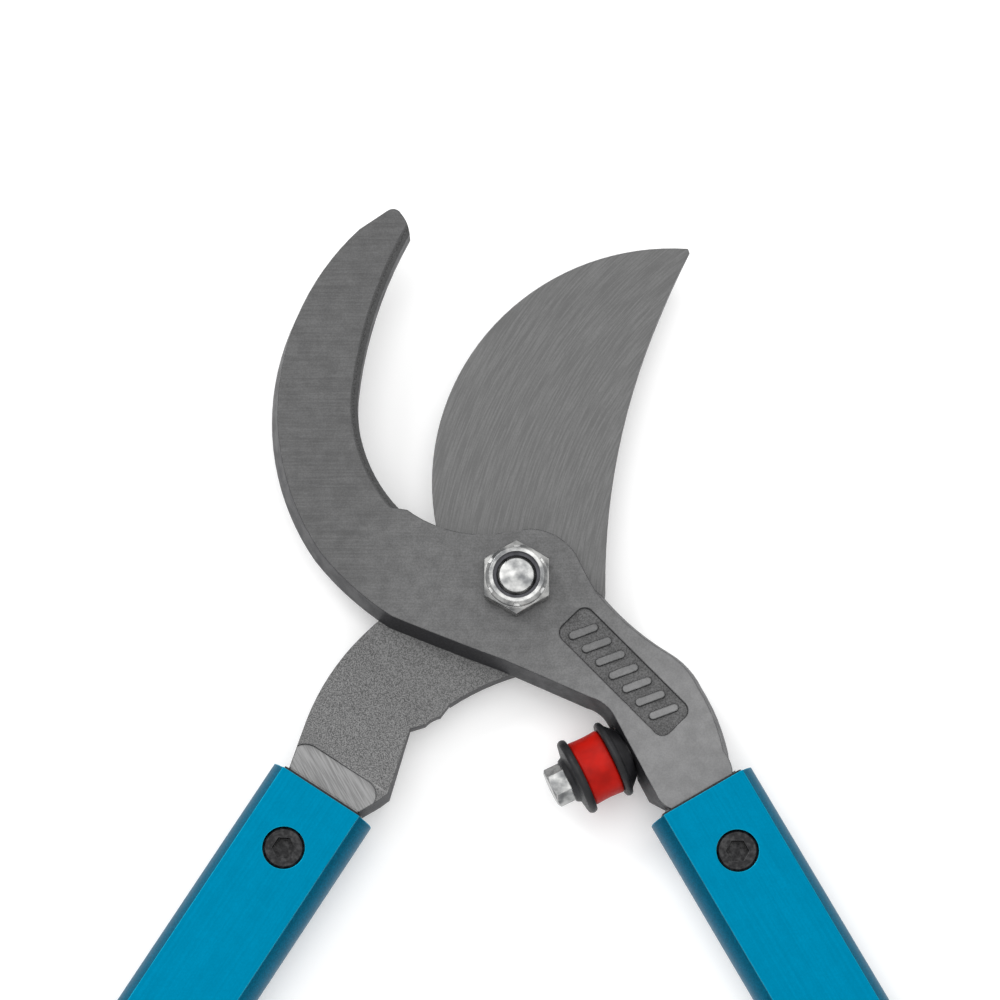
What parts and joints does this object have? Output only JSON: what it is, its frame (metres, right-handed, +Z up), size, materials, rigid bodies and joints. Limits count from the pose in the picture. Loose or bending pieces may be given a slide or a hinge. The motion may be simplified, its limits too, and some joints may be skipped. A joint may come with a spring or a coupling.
{
  "type": "bypass loppers",
  "caption": "Long-handled bypass loppers: a forged hook jaw and a curved cutting blade turn on one bolt, with tubular aluminium handles, rubber grips and a bumper stop.",
  "frame": {"origin": "on the pivot axis, at the outer face of the pivot bolt's head, which rests on the ground", "axes": "+Z up along the pivot axis, +Y out along the jaws, +X towards the handle of the hook, with the jaws open"},
  "size_m": [0.7096, 0.6452, 0.0284],
  "materials": {
    "forged_steel": "forged and ground, fine blasted grain",
    "blade_steel": "ground in long arcs",
    "zinc": "bright zinc plate",
    "black_oxide": "black oxide",
    "anodised_blue": "anodised teal blue, brushed lengthwise",
    "black_nylon": "moulded",
    "grip_rubber": "moulded, matt",
    "bumper_red": "matt red elastomer",
    "bronze": "sintered"
  },
  "bodies": {
    "hook_arm": {"hook_jaw": "forged_steel", "pivot_bolt": "zinc", "pivot_nut": "zinc", "nut_lock_ring": "black_nylon", "pivot_washer": "zinc", "right_tube": "anodised_blue", "right_tang_liner": "black_nylon", "right_tube_screw": "black_oxide", "right_barrel_nut": "black_oxide", "right_grip": "grip_rubber", "right_end_plug": "black_nylon", "bumper_base": "black_nylon", "bumper_core": "bumper_red"},
    "blade_arm": {"cutting_blade": "blade_steel", "pivot_bush": "bronze", "left_tube": "anodised_blue", "left_tang_liner": "black_nylon", "left_tube_screw": "black_oxide", "left_barrel_nut": "black_oxide", "left_grip": "grip_rubber", "left_end_plug": "black_nylon"},
    "bumper_plunger": {"bumper_cap": "black_nylon", "bumper_bolt": "zinc"}
  },
  "joints": [
    {"name": "pivot", "type": "hinge", "parent": "hook_arm", "child": "blade_arm", "pos_m": [0, 0, 0.014], "axis": [0, 0, 1], "range_deg": [-8, 42.4]},
    {"name": "bumper_squash", "type": "slide", "parent": "hook_arm", "child": "bumper_plunger", "axis": [0.8988, 0.4384, 0], "range_m": [0, 0.003], "stiffness_N_per_m": 12000, "deforming": ["bumper_core"]}
  ]
}
